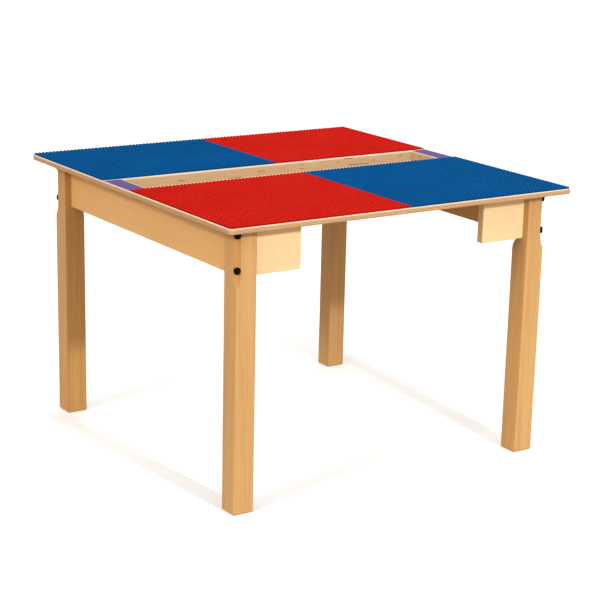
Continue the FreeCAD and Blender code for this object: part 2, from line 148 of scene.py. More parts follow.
# Sockets of a mix node that mixes colours
MIX_FACTOR = 0
MIX_FIRST = 6
MIX_SECOND = 7
MIX_RESULT = 2
# Most values of a noise pattern lie in this span
NOISE_SPAN = (0.3, 0.7)
# The curve of display colours
LEVELS = 255.0
CURVE_START = 0.04045
CURVE_SLOPE = 12.92
CURVE_OFFSET = 0.055
CURVE_POWER = 2.4


def linear(level):
    """One level of a display colour, 0 to 255, as the linear level that shaders use."""
    share = level / LEVELS
    if share <= CURVE_START:
        return share / CURVE_SLOPE
    return ((share + CURVE_OFFSET) / (1 + CURVE_OFFSET)) ** CURVE_POWER


def colour(tone):
    return (*(linear(level) for level in tone), 1.0)


def feed(tree, socket, value):
    if isinstance(value, bpy.types.NodeSocket):
        tree.links.new(value, socket)
    else:
        socket.default_value = value


def add(tree, kind, inputs, **settings):
    node = tree.nodes.new(kind)
    for name, value in settings.items():
        setattr(node, name, value)
    for name, value in inputs.items():
        feed(tree, node.inputs[name], value)
    return node


def start_material(name, **inputs):
    """A material with one shader, and its node tree."""
    material = bpy.data.materials.new(name)
    material.use_nodes = True
    tree = material.node_tree
    tree.nodes.clear()
    named = {key.replace("_", " "): value for key, value in inputs.items()}
    shader = add(tree, "ShaderNodeBsdfPrincipled", named)
    add(tree, "ShaderNodeOutputMaterial", {"Surface": shader.outputs["BSDF"]})
    return material, tree, shader


def spot(tree):
    """The X, Y and Z of a place on the piece."""
    source = tree.nodes.new("ShaderNodeTexCoord").outputs["Object"]
    return add(tree, "ShaderNodeSeparateXYZ", {"Vector": source}).outputs


def facing(tree):
    """The X, Y and Z of the way that the surface faces."""
    normal = tree.nodes.new("ShaderNodeNewGeometry").outputs["Normal"]
    return add(tree, "ShaderNodeSeparateXYZ", {"Vector": normal}).outputs


def even(repeats):
    return (repeats, repeats, repeats)


def along(axis, run, across):
    """Repeats that stretch a pattern along one axis."""
    return tuple(run if index == axis else across for index in range(3))


def noise(tree, vector, detail=2.0, roughness=0.5, distortion=0.0):
    inputs = {"Vector": vector, "Scale": 1.0}
    inputs.update({"Detail": detail, "Roughness": roughness, "Distortion": distortion})
    return add(tree, "ShaderNodeTexNoise", inputs).outputs["Fac"]


def pattern(tree, repeats, **settings):
    """Noise on the piece with so many repeats per metre along each axis."""
    source = tree.nodes.new("ShaderNodeTexCoord").outputs["Object"]
    stretched = add(tree, "ShaderNodeMapping", {"Vector": source, "Scale": repeats})
    return noise(tree, stretched.outputs["Vector"], **settings)


def calc(tree, operation, *values):
    node = add(tree, "ShaderNodeMath", {}, operation=operation)
    for socket, value in zip(node.inputs, values):
        feed(tree, socket, value)
    return node.outputs["Value"]


def product(tree, value, *others):
    for other in others:
        value = calc(tree, "MULTIPLY", value, other)
    return value


def spread(tree, value, span, ends=(0.0, 1.0)):
    """Maps a span of values to two ends, and holds them there outside."""
    inputs = {"Value": value, "From Min": span[0], "From Max": span[1]}
    inputs.update({"To Min": ends[0], "To Max": ends[1]})
    return add(tree, "ShaderNodeMapRange", inputs).outputs["Result"]


def blend(tree, factor, first, second, way="MIX"):
    node = add(tree, "ShaderNodeMix", {}, data_type="RGBA", blend_type=way)
    feed(tree, node.inputs[MIX_FACTOR], factor)
    feed(tree, node.inputs[MIX_FIRST], first)
    feed(tree, node.inputs[MIX_SECOND], second)
    return node.outputs[MIX_RESULT]


def shaded(tree, tone, shade):
    """A colour times a grey level."""
    grey = add(tree, "ShaderNodeCombineColor", {"Red": shade, "Green": shade, "Blue": shade})
    return blend(tree, 1.0, tone, grey.outputs["Color"], "MULTIPLY")


def tinted(tree, tone, tint, share):
    """A colour that is multiplied by a tint as far as the share says."""
    return blend(tree, share, tone, blend(tree, 1.0, tone, tint, "MULTIPLY"))


def ramp(tree, factor, positions, tones):
    """Display tones at positions of a factor, blended in between."""
    node = add(tree, "ShaderNodeValToRGB", {"Fac": factor})
    marks = node.color_ramp.elements
    while len(marks) < len(positions):
        marks.new(positions[len(marks) - 1])
    for mark, position, tone in zip(marks, positions, tones):
        mark.position = position
        mark.color = colour(tone)
    return node.outputs["Color"]


def bump(tree, shader, height, strength, depth):
    inputs = {"Height": height, "Strength": strength, "Distance": depth}
    node = add(tree, "ShaderNodeBump", inputs)
    feed(tree, shader.inputs["Normal"], node.outputs["Normal"])


# Wood

GRAIN_X, GRAIN_Y, GRAIN_Z = range(3)
# Repeats of each pattern per metre, along the grain and across it
BAND_REPEATS = (1.6, 46.0)
STREAK_REPEATS = (5.0, 260.0)
FIBRE_REPEATS = (30.0, 1500.0)
CLOUD_REPEATS = (2.5, 7.0)
FLECK_REPEATS = (420.0, 2400.0)
STREAK_SHARE = 0.55
WOOD_STOPS = (0.34, 0.5, 0.64)
CLOUD_SHADES = (0.93, 1.05)
FIBRE_SHADES = (0.95, 1.04)
FLECK_SPAN = (0.64, 0.7)
FLECK_SHADES = (1.0, 0.8)
FIBRE_DEPTH = 0.2 * MM
TIMBER_ROUGHNESS = (0.36, 0.5)
# Shade painted on the cut corners of the legs, which are darker than their sides
CUT_SPAN = (0.15, 0.4)
CHAMFER_PAINTED_SHADE = (0.82, 0.72, 0.58, 1.0)
# Grain and display tones, dark to pale, of each timber
TIMBERS = {
    "leg_timber": (GRAIN_Z, ((197, 150, 94), (206, 161, 105), (212, 168, 113))),
    # The back left leg's timber is the leg timber darkened, painted shade from the table over it
    "painted_shade_leg_timber": (GRAIN_Z, ((186, 138, 82), (196, 149, 92), (203, 156, 100))),
    "apron_timber": (GRAIN_Y, ((228, 178, 114), (231, 182, 118), (233, 185, 122))),
    "rail_timber": (GRAIN_X, ((244, 210, 159), (247, 214, 164), (249, 217, 168))),
    "inner_timber": (GRAIN_Y, ((198, 150, 95), (214, 170, 114), (222, 182, 130))),
}


def wood_tone(tree, axis, tones):
    """Colour, fibres and streaks of straight-grained wood."""
    bands = pattern(tree, along(axis, *BAND_REPEATS), detail=3.0, roughness=0.55, distortion=0.7)
    streaks = pattern(tree, along(axis, *STREAK_REPEATS), detail=3.0, roughness=0.6)
    fibres = pattern(tree, along(axis, *FIBRE_REPEATS), roughness=0.6)
    clouds = pattern(tree, along(axis, *CLOUD_REPEATS))
    flecks = pattern(tree, along(axis, *FLECK_REPEATS), detail=1.0)
    banded = calc(tree, "MULTIPLY", bands, 1 - STREAK_SHARE)
    mixed = calc(tree, "MULTIPLY_ADD", streaks, STREAK_SHARE, banded)
    cloudy = spread(tree, clouds, NOISE_SPAN, CLOUD_SHADES)
    fibrous = spread(tree, fibres, NOISE_SPAN, FIBRE_SHADES)
    flecked = spread(tree, flecks, FLECK_SPAN, FLECK_SHADES)
    tone = ramp(tree, mixed, WOOD_STOPS, tones)
    return shaded(tree, tone, product(tree, cloudy, fibrous, flecked)), fibres, streaks


def on_chamfer(tree):
    """1 on faces that run across a leg's corner and 0 on its sides."""
    way = facing(tree)
    return spread(tree, calc(tree, "ABSOLUTE", product(tree, way["X"], way["Y"])), CUT_SPAN)


def timber(name, axis, tones):
    """Lacquered solid wood with its grain along one axis, with shade painted where its corners are cut."""
    material, tree, shader = start_material(name, Specular_IOR_Level=0.12)
    tone, fibres, streaks = wood_tone(tree, axis, tones)
    # Painted shade on faces that run across a corner
    feed(tree, shader.inputs["Base Color"], tinted(tree, tone, CHAMFER_PAINTED_SHADE, on_chamfer(tree)))
    feed(tree, shader.inputs["Roughness"], spread(tree, streaks, NOISE_SPAN, TIMBER_ROUGHNESS))
    bump(tree, shader, fibres, strength=0.12, depth=FIBRE_DEPTH)
    return material


# Plywood

VENEER_TONES = ((226, 208, 182), (235, 220, 198), (240, 228, 208))
FLAT_FACING = 0.85
# Plies on the cut edges, counted from far enough below to stay above zero
PLY_WAVE = 0.12 * MM
PLY_WAVE_REPEATS = (9.0, 9.0, 40.0)
PLIES_BELOW = 20
PLY_GRAIN_REPEATS = (26.0, 26.0, 900.0)
LONG_GRAIN_TONES = ((188, 150, 108), (212, 178, 136))
PORE_REPEATS = 700.0
END_GRAIN_TONES = ((156, 114, 72), (182, 138, 93))
# How clearly the plies differ, on the outer edges and in the trough's mouth
CONTRAST_SHARES = (0.75, 0.35)
GLUE_START_SHARE = 0.42
GLUE_SHARE = 0.35
GLUE_TONE = (150, 108, 70)
# A paler rim along the top of the cut edges, partly the pale top veneer and partly a painted highlight,
# from its depths below the panel's top
RIM_LOW = 2.4 * MM
RIM_HIGH = 1.6 * MM
RIM_SHARE = 0.45
RIM_TONE = (238, 221, 196)
# The inside of the trough's mouth, with a little room around it
MOUTH_LOW = (-350.0 * MM, -22.0 * MM)
MOUTH_HIGH = (350.0 * MM, 78.0 * MM)
MOUTH_TINT = (0.78, 0.83, 0.92, 1.0)
# Gaps in the core plies, with the step in the pattern from one ply to the next
GAP_REPEATS = 24.0
GAP_LANE_STEP = 7.3
GAP_LEVEL = 0.35
GAP_SPAN = (0.74, 0.76)
GAP_TONE = (96, 68, 42)


def inside_mouth(tree):
    """1 on the walls of the trough's mouth and 0 on the panel's outer edges."""
    where = spot(tree)
    inside = 1.0
    for axis, low, high in zip("XY", MOUTH_LOW, MOUTH_HIGH):
        above = calc(tree, "GREATER_THAN", where[axis], low)
        below = calc(tree, "LESS_THAN", where[axis], high)
        inside = product(tree, inside, above, below)
    return inside


def ply_count(tree):
    """How many plies up from the panel's underside a place is, with wavy joints."""
    wave = spread(tree, pattern(tree, PLY_WAVE_REPEATS), NOISE_SPAN, (-PLY_WAVE, PLY_WAVE))
    height = calc(tree, "ADD", spot(tree)["Z"], wave)
    return calc(tree, "DIVIDE", calc(tree, "SUBTRACT", height, PANEL_LOW), PLY)


def end_grain_plies(tree, count):
    """1 in every second ply and 0 in the others."""
    positive = calc(tree, "ADD", count, PLIES_BELOW)
    return calc(tree, "GREATER_THAN", calc(tree, "MODULO", positive, 2.0), 1.0)


def glue_lines(tree, count):
    """1 where two plies meet."""
    from_middle = calc(tree, "SUBTRACT", calc(tree, "FRACT", count), 0.5)
    return calc(tree, "GREATER_THAN", calc(tree, "ABSOLUTE", from_middle), GLUE_START_SHARE)


def core_gaps(tree, count):
    """1 at a few short gaps, which lie elsewhere in each ply."""
    where = spot(tree)
    run = product(tree, calc(tree, "ADD", where["X"], where["Y"]), GAP_REPEATS)
    lane = product(tree, calc(tree, "FLOOR", count), GAP_LANE_STEP)
    vector = add(tree, "ShaderNodeCombineXYZ", {"X": run, "Y": lane, "Z": GAP_LEVEL})
    return spread(tree, noise(tree, vector.outputs["Vector"], detail=0.0), GAP_SPAN)


def ply_edge(tree):
    """Colour, pores and gaps of a cut edge, with long grain and end grain by turns."""
    count = ply_count(tree)
    inside = inside_mouth(tree)
    across = end_grain_plies(tree, count)
    contrast = spread(tree, inside, (0.0, 1.0), CONTRAST_SHARES)
    grain = pattern(tree, PLY_GRAIN_REPEATS, detail=3.0, roughness=0.6)
    pores = pattern(tree, even(PORE_REPEATS), roughness=0.6)
    long_grain = ramp(tree, grain, NOISE_SPAN, LONG_GRAIN_TONES)
    end_grain = ramp(tree, pores, NOISE_SPAN, END_GRAIN_TONES)
    tone = blend(tree, product(tree, across, contrast), long_grain, end_grain)
    glue = product(tree, glue_lines(tree, count), contrast, GLUE_SHARE)
    tone = blend(tree, glue, tone, colour(GLUE_TONE))
    tone = tinted(tree, tone, MOUTH_TINT, inside)
    # Painted highlight along the top of the edges, over the pale top veneer
    rim_span = (PANEL_TOP - RIM_LOW, PANEL_TOP - RIM_HIGH)
    rim = spread(tree, spot(tree)["Z"], rim_span, (0.0, RIM_SHARE))
    tone = blend(tree, rim, tone, colour(RIM_TONE))
    gap = product(tree, across, core_gaps(tree, count), inside)
    return blend(tree, gap, tone, colour(GAP_TONE)), pores, gap


def plywood(name):
    """Birch plywood: veneer on the flat faces, plies on the edges."""
    material, tree, shader = start_material(name, Roughness=0.55, Specular_IOR_Level=0.12)
    face, fibres, _ = wood_tone(tree, GRAIN_X, VENEER_TONES)
    edge, pores, gap = ply_edge(tree)
    flat = calc(tree, "GREATER_THAN", calc(tree, "ABSOLUTE", facing(tree)["Z"]), FLAT_FACING)
    feed(tree, shader.inputs["Base Color"], blend(tree, flat, edge, face))
    height = calc(tree, "ADD", calc(tree, "SUBTRACT", pores, gap), fibres)
    bump(tree, shader, height, strength=0.15, depth=FIBRE_DEPTH)
    return material


# Moulded plastic

FLOW_REPEATS = 9.0
FLOW_STOPS = (0.3, 0.5, 0.7)
MOULD_REPEATS = 1400.0
MOULD_DEPTH = 0.05 * MM
SCUFF_REPEATS = (160.0, 35.0, 60.0)
SCUFF_SPAN = (0.3, 0.75)
PLASTIC_ROUGHNESS = (0.36, 0.52)
# Shade painted on a sheet between its studs and on its sides, and the rise up the studs over which it ends
PAINTED_SHEET_SHADE = 0.5
PAINTED_SHADE_RISE = 1.7 * MM
# Display tones, dark to pale, of each plastic
PLASTICS = {
    "red_plastic": ((200, 27, 16), (204, 29, 18), (207, 32, 20)),
    "blue_plastic": ((0, 81, 141), (0, 84, 146), (0, 87, 150)),
}


def plastic(name, tones):
    """Moulded plastic with faint flow marks and scuffs, and shade painted between its studs and on the
    sheet's sides.
    """
    material, tree, shader = start_material(name, Specular_IOR_Level=0.006)
    flow = pattern(tree, even(FLOW_REPEATS), detail=3.0, roughness=0.55, distortion=0.4)
    grain = pattern(tree, even(MOULD_REPEATS))
    scuffs = pattern(tree, SCUFF_REPEATS, detail=4.0, roughness=0.7)
    rise_span = (PLATE_LEVEL, PLATE_LEVEL + PAINTED_SHADE_RISE)
    # Painted shade: darkest on the sheet and its sides, fading out up the studs
    shade = spread(tree, spot(tree)["Z"], rise_span, (PAINTED_SHEET_SHADE, 1.0))
    tone = ramp(tree, flow, FLOW_STOPS, tones)
    feed(tree, shader.inputs["Base Color"], shaded(tree, tone, shade))
    feed(tree, shader.inputs["Roughness"], spread(tree, scuffs, SCUFF_SPAN, PLASTIC_ROUGHNESS))
    bump(tree, shader, grain, strength=0.06, depth=MOULD_DEPTH)
    return material


# Steel

STEEL_REPEATS = 900.0
STEEL_DEPTH = 0.05 * MM
WEAR_REPEATS = 220.0
WEAR_STOPS = (0.42, 0.72)
# Display tones, plain and worn, roughness, and how metallic each steel is
STEELS = {
    "black_steel": (((16, 9, 5), (32, 20, 12)), (0.24, 0.4), 0.0),
    "zinc_steel": (((178, 180, 182), (206, 207, 206)), (0.28, 0.44), 1.0),
}


def steel(name, tones, roughness, metallic):
    """Plated or blackened steel with fine wear."""
    material, tree, shader = start_material(name, Metallic=metallic, Specular_IOR_Level=0.05)
    grain = pattern(tree, even(STEEL_REPEATS), detail=3.0, roughness=0.6)
    patches = pattern(tree, even(WEAR_REPEATS), detail=3.0, roughness=0.6)
    feed(tree, shader.inputs["Base Color"], ramp(tree, patches, WEAR_STOPS, tones))
    feed(tree, shader.inputs["Roughness"], spread(tree, grain, NOISE_SPAN, roughness))
    bump(tree, shader, grain, strength=0.08, depth=STEEL_DEPTH)
    return material


# Film

RUB_REPEATS = (60.0, 90.0, 60.0)
RUB_STOPS = (0.35, 0.75)
FILM_REPEATS = 900.0
FILM_DEPTH = 0.03 * MM
FILM_ROUGHNESS = (0.4, 0.55)
FILM_TONES = ((82, 60, 124), (98, 77, 138))


def film(name):
    """Plain film with faint rubbing."""
    material, tree, shader = start_material(name, Specular_IOR_Level=0.15)
    rubbed = pattern(tree, RUB_REPEATS, detail=4.0, roughness=0.65)
    fine = pattern(tree, even(FILM_REPEATS))
    feed(tree, shader.inputs["Base Color"], ramp(tree, rubbed, RUB_STOPS, FILM_TONES))
    feed(tree, shader.inputs["Roughness"], spread(tree, rubbed, NOISE_SPAN, FILM_ROUGHNESS))
    bump(tree, shader, fine, strength=0.05, depth=FILM_DEPTH)
    return material


# Looks by name

looks = {"birch_plywood": plywood("birch_plywood"), "purple_film": film("purple_film")}
looks.update({name: timber(name, *row) for name, row in TIMBERS.items()})
looks.update({name: plastic(name, tones) for name, tones in PLASTICS.items()})
looks.update({name: steel(name, *row) for name, row in STEELS.items()})


# Pieces

def put_in_scene(item):
    bpy.context.scene.collection.objects.link(item)


def new_piece(name, mesh, look, *nodes):
    """Puts a mesh in the scene as a piece of the table, in place of the CAD nodes that are named."""
    piece = bpy.data.objects.new(name, mesh)
    put_in_scene(piece)
    mesh.materials.append(looks[look])
    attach(piece, "root")
    if nodes:
        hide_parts(*nodes)


def mesh_from(name, points, faces, smooth):
    mesh = bpy.data.meshes.new(name)
    mesh.from_pydata(points, [], faces)
    mesh.polygons.foreach_set("use_smooth", smooth)
    mesh.update()
    return mesh


# Studded plates

# Each plate's look, and the corner that is rounded: 0 or 1 along X and along Y
PLATES = {
    "plate_front_left": ("red_plastic", (0, 0)),
    "plate_front_right": ("blue_plastic", (1, 0)),
    "plate_back_left": ("blue_plastic", (0, 1)),
    "plate_back_right": ("red_plastic", (1, 1)),
}
STUD_ANGLES = [math.pi / 4 + 2 * math.pi * step / STUD_SIDES for step in range(STUD_SIDES)]


class Plate:
    """One closed mesh: a sheet with a stud in each cell of its grid, and one rounded corner."""

    def __init__(self, node, corner):
        self.low, self.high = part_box(node)
        self.top = self.low.z + SHEET
        self.corner = corner
        self.count_x = round((self.high.x - self.low.x + CLEARANCE) / PITCH)
        self.count_y = round((self.high.y - self.low.y + CLEARANCE) / PITCH)
        self.rounded = (corner[0] * self.count_x, corner[1] * self.count_y)
        self.points = []
        self.flat = []
        self.faces = []
        self.smooth = []
        self.maps = []
        self.grid = self.add_grid()
        self.arc = self.add_arc()
        for i in range(self.count_x):
            for j in range(self.count_y):
                self.add_stud(i, j)
        self.add_sides()

    def add_point(self, point, flat=None):
        """Adds a point, with its place on the flat map where that isn't straight above it."""
        self.points.append(point)
        self.flat.append(flat or point[:2])
        return len(self.points) - 1

    def add_face(self, face, smooth=False, places=None):
        self.faces.append(face)
        self.smooth.append(smooth)
        self.maps.extend(places or [self.flat[point] for point in face])

    def line(self, start, end, count):
        inner = [start - CLEARANCE / 2 + PITCH * step for step in range(1, count)]
        return [start] + inner + [end]

    def add_grid(self):
        columns = self.line(self.low.x, self.high.x, self.count_x)
        rows = self.line(self.low.y, self.high.y, self.count_y)
        return [[self.add_point((x, y, self.top)) for y in rows] for x in columns]

    def add_arc(self):
        """Points of the rounded corner, anticlockwise, with the grid's own corner moved to its middle."""
        side_x, side_y = (1 - 2 * end for end in self.corner)
        centre_x = (self.low.x, self.high.x)[self.corner[0]] + side_x * PLATE_CORNER
        centre_y = (self.low.y, self.high.y)[self.corner[1]] + side_y * PLATE_CORNER
        middle = math.atan2(-side_y, -side_x)
        arc = []
        for step in range(CORNER_STEPS + 1):
            angle = middle + math.pi / 2 * (step / CORNER_STEPS - 0.5)
            x = centre_x + PLATE_CORNER * math.cos(angle)
            y = centre_y + PLATE_CORNER * math.sin(angle)
            if step * 2 == CORNER_STEPS:
                index = self.grid[self.rounded[0]][self.rounded[1]]
                self.points[index] = (x, y, self.top)
                self.flat[index] = (x, y)
            else:
                index = self.add_point((x, y, self.top))
            arc.append(index)
        return arc

    def add_ring(self, centre, radius, level, map_radius):
        """One ring of a stud, drawn in on the flat map so that its sides show there."""
        ring = []
        for angle in STUD_ANGLES:
            x, y = math.cos(angle), math.sin(angle)
            point = (centre[0] + radius * x, centre[1] + radius * y, level)
            flat = (centre[0] + map_radius * x, centre[1] + map_radius * y)
            ring.append(self.add_point(point, flat))
        return ring

    def add_stud(self, i, j):
        centre_x = self.low.x - CLEARANCE / 2 + PITCH * (i + 0.5)
        centre_y = self.low.y - CLEARANCE / 2 + PITCH * (j + 0.5)
        radii = (STUD_RADIUS, STUD_RADIUS, STUD_RADIUS - STUD_EASE)
        levels = (self.top, self.high.z - STUD_EASE, self.high.z)
        rings = [self.add_ring((centre_x, centre_y), *row) for row in zip(radii, levels, MAP_RADII)]
        for lower, upper in zip(rings, rings[1:]):
            for step in range(STUD_SIDES):
                after = (step + 1) % STUD_SIDES
                self.add_face((lower[step], lower[after], upper[after], upper[step]), smooth=True)
        self.add_face(tuple(rings[-1]))
        self.add_cell(i, j, rings[0])

    def add_cell(self, i, j, ring):
        """The four faces between a stud's foot and the sides of its cell."""
        corners = [(i + 1, j + 1), (i, j + 1), (i, j), (i + 1, j)]
        quarter = STUD_SIDES // CELL_SIDES
        half = CORNER_STEPS // 2
        for side in range(CELL_SIDES):
            start, end = corners[side], corners[(side + 1) % CELL_SIDES]
            outer = [self.grid[start[0]][start[1]]]
            if start == self.rounded:
                outer += self.arc[half + 1:]
            if end == self.rounded:
                outer += self.arc[:half]
            outer.append(self.grid[end[0]][end[1]])
            inner = [ring[(side * quarter + step) % STUD_SIDES] for step in range(quarter, -1, -1)]
            self.add_face(tuple(outer + inner))

    def outline(self):
        """The sheet's edge, anticlockwise from the front left."""
        places = [(i, 0) for i in range(self.count_x)]
        places += [(self.count_x, j) for j in range(self.count_y)]
        places += [(i, self.count_y) for i in range(self.count_x, 0, -1)]
        places += [(0, j) for j in range(self.count_y, 0, -1)]
        edge = []
        for i, j in places:
            edge += self.arc if (i, j) == self.rounded else [self.grid[i][j]]
        return edge

    def opened(self, point):
        """Where the flat map has a point of the lower edge, outside the upper edge."""
        middle = (self.low + self.high) / 2
        size = self.high - self.low
        x, y = self.flat[point]
        grow_x = 1 + 2 * SHEET / size.x
        grow_y = 1 + 2 * SHEET / size.y
        return middle.x + (x - middle.x) * grow_x, middle.y + (y - middle.y) * grow_y

    def beside(self, point):
        """Where the flat map has a point of the underside, which is narrow there."""
        x, y = self.flat[point]
        return self.high.x + MAP_EDGE + (x - self.low.x) * UNDERSIDE_SHARE, y

    def add_sides(self):
        """The sheet's sides and its underside."""
        edge = self.outline()
        lower = [self.add_point((*self.points[point][:2], self.low.z)) for point in edge]
        for step, point in enumerate(edge):
            after = (step + 1) % len(edge)
            face = (lower[step], lower[after], edge[after], point)
            places = [self.opened(lower[step]), self.opened(lower[after])]
            places += [self.flat[edge[after]], self.flat[point]]
            self.add_face(face, places=places)
        underside = tuple(reversed(lower))
        self.add_face(underside, places=[self.beside(point) for point in underside])

    def mesh(self, name):
        mesh = mesh_from(name, self.points, self.faces, self.smooth)
        places = np.array(self.maps)
        low = places.min(0)
        size = places.max(0) - low
        layer = mesh.uv_layers.new(name="OFBake")
        layer.data.foreach_set("uv", ((places - low) / size).ravel())
        return mesh


for node, (look, corner) in PLATES.items():
    mesh = Plate(node, corner).mesh(f"{node}_studded")
    new_piece(f"{node}_studded", mesh, look, node)


# Shapes of stacked rings

ROUND_ANGLES = [2 * math.pi * step / ROUND_SIDES for step in range(ROUND_SIDES)]


def ring_points(radius, level, angles=ROUND_ANGLES):
    return [(radius * math.cos(angle), radius * math.sin(angle), level) for angle in angles]


def hexagon_points(radius, level):
    """A hexagon with as many points as a ring, so that the two join face by face."""
    per_side = ROUND_SIDES // HEXAGON_SIDES
    turns = [2 * math.pi / HEXAGON_SIDES * side for side in range(HEXAGON_SIDES + 1)]
    corners = [Vector((math.cos(turn), math.sin(turn), 0)) * radius for turn in turns]
    points = []
    for start, end in zip(corners, corners[1:]):
        for step in range(per_side):
            point = start.lerp(end, step / per_side)
            points.append((point.x, point.y, level))
    return points


def stack(rings, flat_joins=(), ends=True):
    """A closed skin over rings of points, with flat ends or a bore. Joins named flat are not smoothed."""
    points = [point for ring in rings for point in ring]
    count = len(rings[0])
    faces, smooth = [], []
    for level in range(len(rings) - 1 if ends else len(rings)):
        start = level * count
        above = (level + 1) % len(rings) * count
        for step in range(count):
            after = (step + 1) % count
            faces.append((start + step, start + after, above + after, above + step))
            smooth.append(level not in flat_joins)
    if ends:
        last = (len(rings) - 1) * count
        faces += [tuple(reversed(range(count))), tuple(range(last, last + count))]
        smooth += [False, False]
    return points, faces, smooth


def join_shapes(name, shape, matrices):
    """Copies of one shape as a single mesh."""
    points, faces, smooth = shape
    all_points, all_faces, all_smooth = [], [], []
    for matrix in matrices:
        start = len(all_points)
        all_points += [tuple(matrix @ Vector(point)) for point in points]
        all_faces += [tuple(start + index for index in face) for face in faces]
        all_smooth += smooth
    return mesh_from(name, all_points, all_faces, all_smooth)


# Leg bolts and nuts

def bolt_shape():
    """A button head with a hexagon socket on a round shank, with the head along +Z from its seat."""
    rings = [ring_points(BOLT_RADIUS - BOLT_TIP, -BOLT_LENGTH)]
    rings.append(ring_points(BOLT_RADIUS, BOLT_TIP - BOLT_LENGTH))
    rings.append(ring_points(BOLT_RADIUS, 0.0))
    under_head = len(rings) - 1
    rings.append(ring_points(HEAD_RADIUS - HEAD_EASE, 0.0))
    rings.append(ring_points(HEAD_RADIUS, HEAD_EASE))
    rings.append(ring_points(HEAD_RADIUS, HEAD_RIM))
    for step in range(1, DOME_STEPS + 1):
        angle = math.pi / 2 * step / DOME_STEPS
        radius = CROWN_RADIUS + (HEAD_RADIUS - CROWN_RADIUS) * math.cos(angle)
        rings.append(ring_points(radius, HEAD_RIM + (HEAD_HEIGHT - HEAD_RIM) * math.sin(angle)))
    socket_mouth = len(rings) - 1
    rings.append(hexagon_points(SOCKET_RADIUS, HEAD_HEIGHT - SOCKET_EASE))
    rings.append(hexagon_points(SOCKET_RADIUS, HEAD_HEIGHT - SOCKET_DEPTH))
    return stack(rings, (under_head, socket_mouth, socket_mouth + 1))


def nut_shape():
    """A six-sided nut with eased corners, near the end of its bolt."""
    low = BOLT_END - BOLT_LENGTH
    high = low + NUT_HEIGHT
    crown = NUT_FLATS / 2 * NUT_CROWN_SHARE
    corner = NUT_FLATS / math.sqrt(3)
    rings = [ring_points(NUT_BORE, low), ring_points(crown, low)]
    rings += [hexagon_points(corner, low + NUT_EASE), hexagon_points(corner, high - NUT_EASE)]
    rings += [ring_points(crown, high), ring_points(NUT_BORE, high)]
    return stack(rings, range(len(rings) - 1), ends=False)


def bolt_places():
    """Two places on each leg's cut corner, with +Z outwards."""
    places = []
    for side_x in (-1, 1):
        for side_y in (-1, 1):
            outward = Vector((side_x, side_y, 0)).normalized()
            seat = Vector((side_x * LEG_X, side_y * LEG_Y, 0)) - outward * BOLT_SEAT
            turn = outward.to_track_quat("Z", "Y").to_matrix().to_4x4()
            for level in BOLT_HEIGHTS:
                places.append(Matrix.Translation(seat + Vector((0, 0, level))) @ turn)
    return places


bolts = join_shapes("leg_bolts_button", bolt_shape(), bolt_places())
new_piece("leg_bolts_button", bolts, "black_steel", "leg_bolts")
nuts = join_shapes("leg_nuts_eased", nut_shape(), bolt_places())
new_piece("leg_nuts_eased", nuts, "zinc_steel", "leg_nuts")


# Wood screws

CROSS_TURN = math.atan2(CROSS_HALF, CROSS_REACH)
# Room for rounding where an angle is compared with that turn
TURN_ROOM = 1.001


def cross_angles():
    """Angles at which a cross-shaped recess has its corners, and some between them."""
    first = [0.0, CROSS_TURN / 2, CROSS_TURN, (CROSS_TURN + math.pi / 4) / 2]
    quarter = first + [math.pi / 4] + [math.pi / 2 - angle for angle in reversed(first[1:])]
    return [math.pi / 2 * turn + angle for turn in range(4) for angle in quarter]


def cross_points(level):
    points = []
    for angle in cross_angles():
        folded = angle % (math.pi / 2)
        folded = min(folded, math.pi / 2 - folded)
        at_end = folded < CROSS_TURN * TURN_ROOM
        radius = CROSS_REACH / math.cos(folded) if at_end else CROSS_HALF / math.sin(folded)
        points.append((radius * math.cos(angle), radius * math.sin(angle), level))
    return points


def screw_shape(length):
    """A pan head below its seat, with a cross recess, and a pointed shank above."""
    angles = cross_angles()
    rings = [cross_points(CROSS_DEPTH - PAN_HEIGHT), cross_points(-PAN_HEIGHT)]
    recess = range(len(rings))
    for step in range(DOME_STEPS + 1):
        angle = math.pi / 2 * step / DOME_STEPS
        radius = PAN_CROWN + (PAN_RADIUS - PAN_CROWN) * math.sin(angle)
        rings.append(ring_points(radius, -PAN_RIM - (PAN_HEIGHT - PAN_RIM) * math.cos(angle), angles))
    rings.append(ring_points(PAN_RADIUS, 0.0, angles))
    under_head = len(rings) - 1
    rings.append(ring_points(SCREW_RADIUS, 0.0, angles))
    rings.append(ring_points(SCREW_RADIUS, length - SCREW_POINT, angles))
    rings.append(ring_points(SCREW_TIP, length, angles))
    return stack(rings, (*recess, under_head))


def add_screws(node, places):
    """Screws between the ends of those in the CAD."""
    low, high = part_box(node)
    seat = low.z + PAN_HEIGHT
    matrices = [Matrix.Translation((x, y, seat)) for x, y in places]
    name = f"{node}_pan"
    mesh = join_shapes(name, screw_shape(high.z - seat), matrices)
    new_piece(name, mesh, "zinc_steel", node)


top_places = [(side * TOP_SCREW_X, y) for side in (-1, 1) for y in TOP_SCREW_Y]
trough_places = [(x, y) for x in TROUGH_SCREW_X for y in TROUGH_SCREW_Y]
trough_places += [(side * TROUGH_END_X, TROUGH_END_Y) for side in (-1, 1)]
add_screws("top_screws", top_places)
add_screws("trough_screws", trough_places)


# Stickers

def sticker_points(side, level):
    """A sticker's outline with rounded corners, anticlockwise from the right at the back."""
    left, right = sorted(side * x for x in STICKER_X)
    front, back = STICKER_Y
    inset = STICKER_CORNER
    centres = [(right - inset, back - inset), (left + inset, back - inset)]
    centres += [(left + inset, front + inset), (right - inset, front + inset)]
    points = []
    for turn, (x, y) in enumerate(centres):
        for step in range(STICKER_CORNER_STEPS + 1):
            angle = math.pi / 2 * (turn + step / STICKER_CORNER_STEPS)
            points.append((x + inset * math.cos(angle), y + inset * math.sin(angle), level))
    return points


